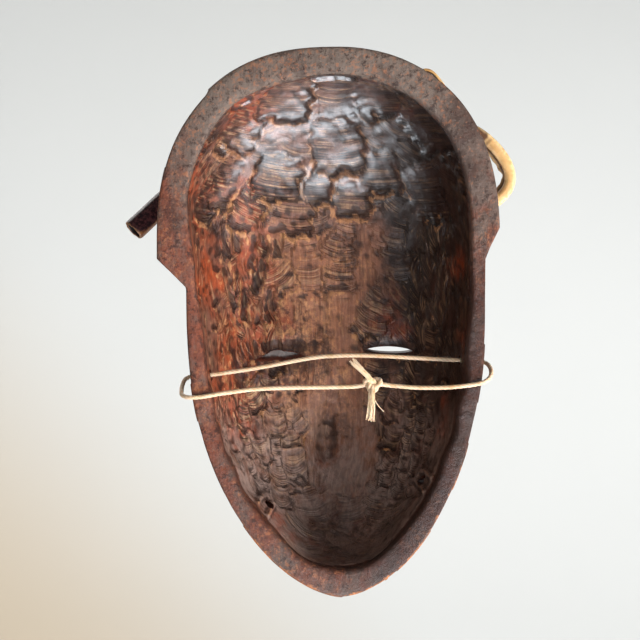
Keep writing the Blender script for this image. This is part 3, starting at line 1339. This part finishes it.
def bandLine():
    b = bandSettings
    x = np.linspace(b["reach"], -b["reach"], b["steps"])
    z = capEdge(x) + b["above"]
    points = np.array([frontPoint(i, j) for i, j in zip(x, z)])
    out = np.array([frontNormal(i, j) for i, j in zip(x, z)])
    points = points + out * (b["thick"] / 2 + 2 * b["gap"])
    along = headings(points)
    across = np.cross(out, along)
    across /= np.linalg.norm(across, axis=1)[:, None]
    return points, across, np.cross(along, across)


def makeBand():
    b = bandSettings
    points, across, out = bandLine()
    gone = travelled(points)
    section = ovalSection(b["wide"], b["thick"], 26)
    rows = np.repeat(section[None], len(points), axis=0)
    spot = np.stack([np.repeat(gone[:, None], 26, 1), rows[..., 0]], axis=-1)
    upper = rows[..., 1] > 0
    rows[..., 0] *= (1 + 0.06 * np.sin(gone / 9) + 0.04 * np.sin(gone / 3.7 + 1)
                     + 0.025 * np.sin(gone / 1.6))[:, None]
    cup = 0.35 * (rows[..., 0] / (b["wide"] / 2)) ** 2
    rows[..., 1] += cup * upper + 0.16 * waves(spot, 51, 7) * upper
    for share in tackShares():  # each tack pulls the hide down round its head
        rows[..., 1] -= 0.5 * upper * hill(gone - share * gone[-1], 0, 3.6, 1)[:, None]
    ends = np.minimum(1, np.sqrt(np.clip(np.minimum(gone, gone[-1] - gone) / 2.5, 0.02, 1)))
    rows *= np.stack([0.55 + 0.45 * ends, 0.4 + 0.6 * ends], axis=-1)[:, None]
    edge = (np.abs(rows[..., 0]) > 0.42 * b["wide"]).astype(float)
    soiled = np.repeat((0.25 + 0.25 * np.sin(gone / 13 + 2) + 0.1 * np.sin(gone / 4))[:, None], 26, 1)
    vertices, faces, marks = sweepSection(points, across, out, rows, {"edge": edge, "soiled": soiled})
    handMesh("browBand", vertices, faces, hide, marks, "rawhide", "brow_band")


def tackShares():
    count = bandSettings["tacks"]
    return [(i + 0.35) / (count - 0.3) for i in range(count)]


makeBand()


# the rawhide loops beside the cap
sideLoopRoute = [
    (-54, 247.5), (-62, 247.6), (-70, 245.8), (-77.4, 242.2), (-83.8, 237.2), (-89.2, 231.4),
    (-93.2, 224.8), (-94.6, 218), (-93, 212), (-88, 206.6), (-81, 202), (-73, 198.6),
]
topLoopRoute = [
    (-37, 263), (-41, 269.8), (-46.5, 273.6), (-51.3, 272.9), (-55, 269.3), (-58, 264.5), (-59, 259),
    (-54.5, 251.5),
]
loopSettings = {"sideDeep": 45, "topDeep": 30, "near": 5.2, "far": 7.0, "leaf": 1.7, "thong": 1.8,
                "thongThick": 3.4}


def loopFrame(route, deep, step):
    # the path, how far along it each point lies, and the directions away from the head and to the back
    path = smoothPath([(x, -deep, z) for x, z in route], step)
    back = np.tile((0.0, 1.0, 0.0), (len(path), 1))
    return path, travelled(path), np.cross(back, headings(path)), back


def makeSideLoop():
    # a strip folded lengthwise: the smooth near leaf, the fold on the outside and the torn far leaf
    s = loopSettings
    path, gone, across, back = loopFrame(sideLoopRoute, s["sideDeep"], 0.7)
    share = gone / gone[-1]
    width = s["near"] * (0.86 + 0.16 * np.sin(share * math.pi) + 0.03 * np.sin(gone / 5))
    torn = s["far"] * (0.84 + 0.14 * np.sin(share * math.pi))
    torn = torn + 0.35 * np.sin(gone / 2.3) + 0.25 * np.sin(gone / 1.1 + 1)
    torn += 0.9 * hill(share - 0.45, 0, 0.05, 1) - 0.7 * hill(share - 0.62, 0, 0.04, 1)
    leaf, half = s["leaf"], s["near"] / 2
    rows, edges, soil = [], [], []
    for i in range(len(path)):
        near, far = half - width[i], half - torn[i]
        gapHere = 0.35 + 0.5 * math.sin(share[i] * math.pi)
        top, low = gapHere / 2 + leaf, gapHere / 2
        crown = 0.35
        row = [(near + 0.3, top - 0.25), (near + 1.4, top)]
        row += [(near + width[i] * t, top + crown * math.sin(math.pi * t)) for t in (0.35, 0.55, 0.75)]
        row += [(half + (top + 0.1) * 0.55 * math.cos(a), (top + 0.1) * math.sin(a))
                for a in np.linspace(1.25, -1.25, 9)]
        row += [(far + torn[i] * t, -top - 0.1 * math.sin(math.pi * t)) for t in (0.75, 0.5, 0.25)]
        row += [(far + 0.9, -top + 0.05), (far + 0.1, -top + 0.35), (far - 0.1, -low - 0.45),
                (far + 0.5, -low - 0.05)]
        row += [(far + torn[i] * t, -low) for t in (0.4, 0.7, 0.9)]
        row += [(half - 0.4, 0.0)]
        row += [(near + width[i] * t, low) for t in (0.85, 0.5, 0.2)]
        row += [(near + 0.35, low + 0.05), (near, low + 0.5)]
        rows.append(row)
        kind = (
            [0.6, 0.3, 0, 0, 0.2] + [0.9] * 9 + [0] * 3 + [0.4, 0.8, 0.8, 0.4] + [0] * 3 + [0] + [0] * 3
            + [0.5, 0.8]
        )
        edges.append(kind)
        shadow = (
            [0, 0, 0, 0, 0] + [0] * 9 + [0.25] * 3 + [0.4, 0.5, 0.5, 0.6] + [0.9] * 3 + [1] + [0.9] * 3
            + [0.5, 0.2]
        )
        start = 0.9 * (1 - soft(share[i] + 0.02 * math.sin(gone[i] * 1.7), 0.30, 0.46))
        end = 0.8 * math.exp(-(((share[i] - 1) / 0.10) ** 2))
        soil.append([max(v, start * (1 if j < 5 else 0.6), end) for j, v in enumerate(shadow)])
    rows = np.array(rows)
    rows[..., 1] += (
        0.10 * waves(np.stack([np.repeat(gone[:, None], rows.shape[1], 1), rows[..., 0]], axis=-1), 61, 6)
    )
    rows[..., 1] += (0.8 * np.sin(share * math.pi * 1.2))[:, None]
    vertices, faces, marks = sweepSection(path, across, back, rows, {"edge": edges, "soiled": soil})
    handMesh("sideLoop", vertices, faces, hide, marks, "rawhide", "side_loop")


def makeTopLoop():
    s = loopSettings
    path, gone, across, back = loopFrame(topLoopRoute, s["topDeep"], 0.5)
    rows = np.repeat(ovalSection(s["thong"], s["thongThick"], 18)[None], len(path), axis=0)
    rows *= (1 + 0.07 * np.sin(gone / 2.2) + 0.05 * np.sin(gone / 0.9))[:, None, None]
    edge = (np.abs(rows[..., 0]) > 0.4 * s["thong"]).astype(float)
    inner = (rows[..., 0] < -0.25 * s["thong"]) * 0.9
    vertices, faces, marks = sweepSection(path, across, back, rows, {"edge": edge, "soiled": inner})
    handMesh("topLoop", vertices, faces, hide, marks, "rawhide", "top_loop")


makeSideLoop()
makeTopLoop()
print("hide strips ready")


# Geometry Nodes: lashings, tacks and loose fibres
def newTree(name, inputs):
    return makeGroup(name, "GeometryNodeTree", [("Geometry", "Geometry"), *inputs],
                     [("Geometry", "Geometry")])


def finishTree(tree, result, geometry, material):
    real = addNode(tree, "GeometryNodeRealizeInstances", {0: geometry})
    painted = addNode(tree, "GeometryNodeSetMaterial", {0: real.outputs[0], "Material": material})
    feed(result.inputs[0], painted.outputs[0])


def runTree(piece, tree, values):
    # inputs are set by their identifiers, then the result is kept as a plain mesh
    step = piece.modifiers.new("build", "NODES")
    step.node_group = tree
    for item in tree.interface.items_tree:
        if item.item_type == "SOCKET" and item.in_out == "INPUT" and item.name in values:
            step[item.identifier] = values[item.name]
    made = bpy.data.meshes.new_from_object(piece.evaluated_get(bpy.context.evaluated_depsgraph_get()))
    name = piece.name
    bpy.data.objects.remove(piece)
    made.name = name
    piece = bpy.data.objects.new(name, made)
    scene.collection.objects.link(piece)
    return piece


def pathPiece(name, lines):
    # poly lines as a curve object for a tree to follow
    curve = bpy.data.curves.new(name, "CURVE")
    curve.dimensions = "3D"
    for line in lines:
        spline = curve.splines.new("POLY")
        spline.points.add(len(line) - 1)
        spline.points.foreach_set("co", np.hstack([line, np.ones((len(line), 1))]).ravel())
    piece = bpy.data.objects.new(name, curve)
    scene.collection.objects.link(piece)
    return piece


lashingSettings = {"places": {"lower": 42, "upper": 68}, "wide": 7, "turns": 3, "thick": 1.8, "sink": 7}


def lashingTree():
    # one flat thong swept along the curve and repeated side by side along the cane
    tree, source, result = newTree("lashing", [
        ("Turns", "Int", 3), ("Pitch", "Vector"), ("Thong Width", "Float", 0.002),
        ("Thong Thickness", "Float", 0.001),
        ("Unevenness", "Float", 0.0003), ("Seed", "Int", 3),
    ])
    rounded = addNode(tree, "GeometryNodeCurvePrimitiveCircle", {"Resolution": 12, "Radius": 0.5})
    shape = addNode(tree, "ShaderNodeCombineXYZ",
                    {0: source.outputs["Thong Thickness"], 1: source.outputs["Thong Width"], 2: 1.0})
    section = addNode(tree, "GeometryNodeTransform", {0: rounded.outputs[0], "Scale": shape.outputs[0]})
    flat = addNode(tree, "GeometryNodeSetCurveNormal", {0: source.outputs[0]}, mode="FREE")
    flat.inputs["Normal"].default_value = tuple(caneWay)
    swept = addNode(tree, "GeometryNodeCurveToMesh",
                    {0: flat.outputs[0], 1: section.outputs[0], "Fill Caps": True})
    rows = addNode(tree, "GeometryNodeMeshLine",
                   {"Count": source.outputs["Turns"], "Offset": source.outputs["Pitch"]})
    shake = addNode(tree, "FunctionNodeRandomValue", {"Seed": source.outputs["Seed"]},
                    data_type="FLOAT_VECTOR")
    shake.inputs[0].default_value = (-1, -1, -1)
    shake.inputs[1].default_value = (1, 1, 1)
    shaken = scaleVector(shake.outputs[0], source.outputs["Unevenness"])
    loose = addNode(tree, "GeometryNodeSetPosition", {0: rows.outputs[0], "Offset": shaken})
    copies = addNode(tree, "GeometryNodeInstanceOnPoints",
                     {0: loose.outputs[0], "Instance": swept.outputs[0]})
    finishTree(tree, result, copies.outputs[0], hide)
    return tree


def makeLashings():
    l = lashingSettings
    tree = lashingTree()
    radius = caneSettings["outer"] / 2 + l["thick"] * 0.42
    pitch = l["wide"] / l["turns"]
    for number, (name, along) in enumerate(l["places"].items()):
        middle = caneTip - caneWay * along
        surface, out = footOnFront(middle)
        deep = np.linalg.norm(middle - surface) + l["sink"]
        out = unit(out - caneWay * out.dot(caneWay))
        across = np.cross(out, caneWay)
        turn = np.linspace(-0.5 * math.pi + 0.22, 1.5 * math.pi - 0.22, 60)
        ring = [middle + radius * (math.cos(a) * across + math.sin(a) * out) for a in turn]
        inner = [middle - out * deep + across * 0.8, middle - out * (radius + 2.2) + across * 0.95]
        outer = [middle - out * (radius + 2.2) - across * 0.95, middle - out * deep - across * 0.8]
        line = smoothPath(np.array([*inner, *ring, *outer]), 0.7)
        line = line - caneWay * pitch * (l["turns"] - 1) / 2
        piece = pathPiece("lashing" + name.capitalize(), [place(line)])
        piece = runTree(piece, tree, {
            "Turns": l["turns"], "Pitch": tuple(caneWay * pitch / 1000), "Thong Width": pitch * 1.02 / 1000,
            "Thong Thickness": l["thick"] * 0.8 / 1000, "Unevenness": 0.00022, "Seed": 4 + number,
        })
        hand(piece, "rawhide", "cane_lashing_" + name)


tackSettings = {"head": 2.75, "rise": 1.7, "shank": 0.8, "length": 6}


def tackTree():
    # a hammered dome on a square shank, set on each point and turned along its facing
    tree, source, result = newTree("tacks", [
        ("Head", "Float", 0.0027), ("Rise", "Float", 0.0016), ("Shank", "Float", 0.0008),
        ("Length", "Float", 0.006),
        ("Seed", "Int", 5),
    ])
    ball = addNode(tree, "GeometryNodeMeshIcoSphere", {"Radius": 1.0, "Subdivisions": 4})
    position = addNode(tree, "GeometryNodeInputPosition").outputs[0]
    apart = addNode(tree, "ShaderNodeSeparateXYZ", {0: position})
    lower = most(apart.outputs[2], -0.22)
    flat = addNode(tree, "ShaderNodeCombineXYZ", {0: apart.outputs[0], 1: apart.outputs[1], 2: lower})
    facets = addNode(tree, "ShaderNodeTexVoronoi", {"Vector": position, "Scale": 2.6})
    dents = times(facets.outputs["Distance"], 0.09)
    inwards = scaleVector(position, times(dents, -1.0))
    dome = addNode(tree, "GeometryNodeSetPosition",
                   {0: ball.outputs[0], "Position": flat.outputs[0], "Offset": inwards})
    size = addNode(tree, "ShaderNodeCombineXYZ",
                   {0: source.outputs["Head"], 1: source.outputs["Head"], 2: source.outputs["Rise"]})
    head = addNode(tree, "GeometryNodeTransform", {0: dome.outputs[0], "Scale": size.outputs[0]})
    shankBody = addNode(tree, "GeometryNodeMeshCone", {
        "Vertices": 8, "Radius Top": source.outputs["Shank"], "Radius Bottom": 0.0002,
        "Depth": source.outputs["Length"],
    })
    down = addNode(tree, "ShaderNodeCombineXYZ", {2: times(source.outputs["Length"], -1.0)})
    shank = addNode(tree, "GeometryNodeTransform",
                    {0: shankBody.outputs[0], "Translation": down.outputs[0]})
    whole = tree.nodes.new("GeometryNodeJoinGeometry")
    feed(whole.inputs[0], head.outputs[0])
    feed(whole.inputs[0], shank.outputs[0])
    facing = addNode(tree, "GeometryNodeInputNamedAttribute", {"Name": "facing"}, data_type="FLOAT_VECTOR")
    turn = addNode(tree, "FunctionNodeAlignRotationToVector", {"Vector": facing.outputs[0]}, axis="Z")
    copies = addNode(tree, "GeometryNodeInstanceOnPoints",
                     {0: source.outputs[0], "Instance": whole.outputs[0], "Rotation": turn.outputs[0]})
    random = addNode(tree, "FunctionNodeRandomValue", {"Seed": source.outputs["Seed"]},
                     data_type="FLOAT_VECTOR")
    random.inputs[0].default_value = (-0.08, -0.08, -3)
    random.inputs[1].default_value = (0.08, 0.08, 3)
    spun = addNode(tree, "GeometryNodeRotateInstances",
                   {0: copies.outputs[0], "Rotation": random.outputs[0]})
    finishTree(tree, result, spun.outputs[0], iron)
    return tree


def makeTacks():
    t = tackSettings
    points, _, out = bandLine()
    chosen = [round(share * (len(points) - 1)) for share in tackShares()]
    spots = points[chosen] + out[chosen] * (bandSettings["thick"] / 2 + 0.25)
    mesh = bpy.data.meshes.new("bandTacks")
    mesh.from_pydata(place(spots).tolist(), [], [])
    facing = mesh.attributes.new("facing", "FLOAT_VECTOR", "POINT")
    facing.data.foreach_set("vector", out[chosen].astype(np.float32).ravel())
    piece = bpy.data.objects.new("bandTacks", mesh)
    scene.collection.objects.link(piece)
    piece = runTree(piece, tackTree(), {
        "Head": t["head"] / 1000, "Rise": t["rise"] / 1000, "Shank": t["shank"] / 1000,
        "Length": t["length"] / 1000, "Seed": 9,
    })
    hand(piece, "iron", *["band_tack_" + str(i + 1) for i in range(bandSettings["tacks"])])


makeLashings()
makeTacks()
print("lashings and tacks ready")


# the cord, its knot and its two tails
def fibreTree():
    # a thin round thread along every line, thinner towards its end
    tree, source, result = newTree("fibres", [("Thread", "Float", 0.0001), ("Sides", "Int", 5)])
    section = addNode(tree, "GeometryNodeCurvePrimitiveCircle",
                      {"Resolution": source.outputs["Sides"], "Radius": source.outputs["Thread"]})
    share = addNode(tree, "GeometryNodeSplineParameter").outputs["Factor"]
    thinner = scaledSum(share, -0.45, 1.0)
    swept = addNode(tree, "GeometryNodeCurveToMesh",
                    {0: source.outputs[0], 1: section.outputs[0], "Fill Caps": True})
    if "Scale" in swept.inputs:
        feed(swept.inputs["Scale"], thinner)
    finishTree(tree, result, swept.outputs[0], cotton)
    return tree


fibres = fibreTree()


def strands(path, count, spread, reach, seed):
    # the plies of a cut end come apart: lines that start together in the cord and open out
    random = np.random.default_rng(seed)
    side, up = framesAlong(path)
    share = np.linspace(0, 1, len(path))
    lines = []
    for _ in range(count):
        angle = random.uniform(0, 2 * math.pi)
        far = math.sqrt(random.uniform(0.02, 1))
        curve = np.clip(share - 0.15, 0, 1) ** 1.3
        opening = reach * far * (0.8 + spread * curve * random.uniform(0.5, 1.2))
        curl = angle + share * random.uniform(-1.2, 1.2)
        wander = random.normal(size=(3,)) * 0.5
        sideways, upwards = (opening * np.cos(curl))[:, None], (opening * np.sin(curl))[:, None]
        line = path + sideways * side + upwards * up * 0.55
        line = line + np.outer(share**2, wander)
        last = max(6, round(len(line) * random.uniform(0.88, 1.0)))
        lines.append(place(line[:last]))
    return lines


def makeCord():
    c = cordSettings
    radius = c["diameter"] / 2
    path = smoothPath(cordRoute, c["pieceStep"])
    vertices, faces, marks = twistedTube(path, radius, c["plies"], c["lay"], c["sides"])
    cord = handMesh("tieCord", vertices, faces, cotton, marks, "waxed_cotton", "tie_cord")

    # an overhand knot pulled tight
    t = np.linspace(0, 2 * math.pi, 150, endpoint=False)
    size, fat = c["knotSize"], radius * c["knotFat"]
    trefoil = np.stack([
        size * (np.sin(t) + 2 * np.sin(2 * t)) * 1.1, -size * 0.85 * np.sin(3 * t),
        size * (np.cos(t) - 2 * np.cos(2 * t)) * 0.9,
    ], axis=1)
    body, sides, marks = twistedTube(trefoil + knotCentre, fat, c["plies"], c["lay"], c["knotSides"],
                                     closed=True)
    knot = handMesh("tieKnot", body, sides, cotton, marks, "waxed_cotton", "tie_knot")

    for name, node, route, count, seed, spread, reach in (
        ("tieTailUpper", "tie_tail_upper", upperTailRoute, 60, 71, 0.15, 1.5),
        ("tieTailLower", "tie_tail_lower", lowerTailRoute, 90, 72, 0.45, 1.95),
    ):
        line = smoothPath([knotCentre, *route], 0.5)
        lines = strands(line, count, spread, reach, seed)
        if name == "tieTailLower":
            stray = smoothPath(strayRoute, 0.5)
            lines += [place(stray + np.array((0, 0.2 * i, 0.25 * i))) for i in range(c["strayThreads"])]
        piece = runTree(pathPiece(name, lines), fibres,
                        {"Thread": c["thread"] / 1000, "Sides": c["threadSides"]})
        hand(piece, "waxed_cotton", node)


makeCord()


# stage and light
stageSettings = {"floor": -1.35, "wide": 2.3, "bend": 0.7, "colour": (0.485, 0.500, 0.502),
                 "warm": (0.42, 0.365, 0.29)}
lights = {
    "window": {"place": (-1.0, 0.72, -0.42), "aim": (0, 0, 0.02), "size": (0.8, 1.0), "power": 46,
               "colour": (1.0, 0.98, 0.95), "serves": "diffuse"},
    "sheen": {"place": (-0.22, 0.36, -1.1), "aim": (0, 0, 0.05), "size": (1.3, 1.0), "power": 80,
              "colour": (0.82, 0.91, 1.0), "serves": "glossy"},
    "glint": {"place": (-0.8, 0.9, -0.5), "aim": (0, 0, 0.0), "size": (0.8, 0.9), "power": 9,
              "colour": (0.95, 0.97, 1.0), "serves": "glossy"},
    "fill": {"place": (0.15, 1.25, -0.8), "aim": (0, 0, 0.0), "size": (1.0, 1.0), "power": 11,
             "colour": (1.0, 0.98, 0.97), "serves": "diffuse"},
    "front": {"place": (0.5, -1.1, 0.8), "aim": (0, 0, 0.02), "size": (1.0, 1.0), "power": 16,
              "colour": (1.0, 0.98, 0.96), "serves": "both"},
    "wash": {"place": (-0.2, -0.6, -0.1), "aim": (-0.15, -2.3, -0.15), "size": (1.6, 1.0), "power": 38,
             "colour": (1.0, 1.0, 1.0), "serves": "both"},
}


skySettings = {"colour": (0.93, 0.96, 1.0), "strength": 0.2}


def paleWall(colour, warm):
    material, tree, skin = newMaterial("paleWall")
    spot = objectSpot(tree)
    apart = addNode(tree, "ShaderNodeSeparateXYZ", {0: spot})
    mottle = noise(spot, 3, 3, 0.5)
    shade = blend(mottle, tuple(0.97 * c for c in colour), colour)
    corner = minus(apart.outputs[0], apart.outputs[2])  # one low corner is warmer
    shade = blend(between(corner, 0.4, 1.5), shade, warm)
    feed(skin.inputs["Base Color"], shade)
    skin.inputs["Roughness"].default_value = 0.9
    skin.inputs["Specular IOR Level"].default_value = 0.1
    return material


def makeStage():
    # a pale round room with a coved foot, wide enough for every camera
    s = stageSettings
    profile = [(0.0, s["floor"])]
    for a in np.linspace(0, math.pi / 2, 14):
        profile.append((s["wide"] - s["bend"] + s["bend"] * math.sin(a),
                        s["floor"] + s["bend"] - s["bend"] * math.cos(a)))
    profile += [(s["wide"], 1.0), (s["wide"] * 0.9, 1.5)]
    sides = 96
    turn = np.linspace(0, 2 * np.pi, sides, endpoint=False)
    vertices = [
        (r * math.cos(a), r * math.sin(a), z) for r, z in profile[1:] for a in turn
    ] + [(0, 0, s["floor"])]
    faces = gridFaces(len(profile) - 1, sides)
    faces += [[len(vertices) - 1, (j + 1) % sides, j] for j in range(sides)]
    floor = newPiece("room", vertices, faces, paleWall(s["colour"], s["warm"]))


def makeLights():
    for name, light in lights.items():
        data = bpy.data.lights.new(name, "AREA")
        data.shape = "RECTANGLE"
        data.size, data.size_y = light["size"]
        data.energy = light["power"]
        data.color = light["colour"]
        lamp = bpy.data.objects.new(name, data)
        lamp.location = light["place"]
        lamp.visible_camera = False
        lamp.visible_diffuse = light["serves"] != "glossy"
        lamp.visible_glossy = light["serves"] != "diffuse"
        aim = Vector(light["aim"]) - Vector(light["place"])
        lamp.rotation_euler = aim.to_track_quat("-Z", "Y").to_euler()
        scene.collection.objects.link(lamp)
    world = bpy.data.worlds.new("sky")
    world.use_nodes = True
    sky = world.node_tree.nodes["Background"]
    feed(sky.inputs["Color"], skySettings["colour"])
    feed(sky.inputs["Strength"], skySettings["strength"])
    scene.world = world
    scene.view_settings.view_transform = "Standard"


makeStage()
makeLights()
print("stage and lights ready")
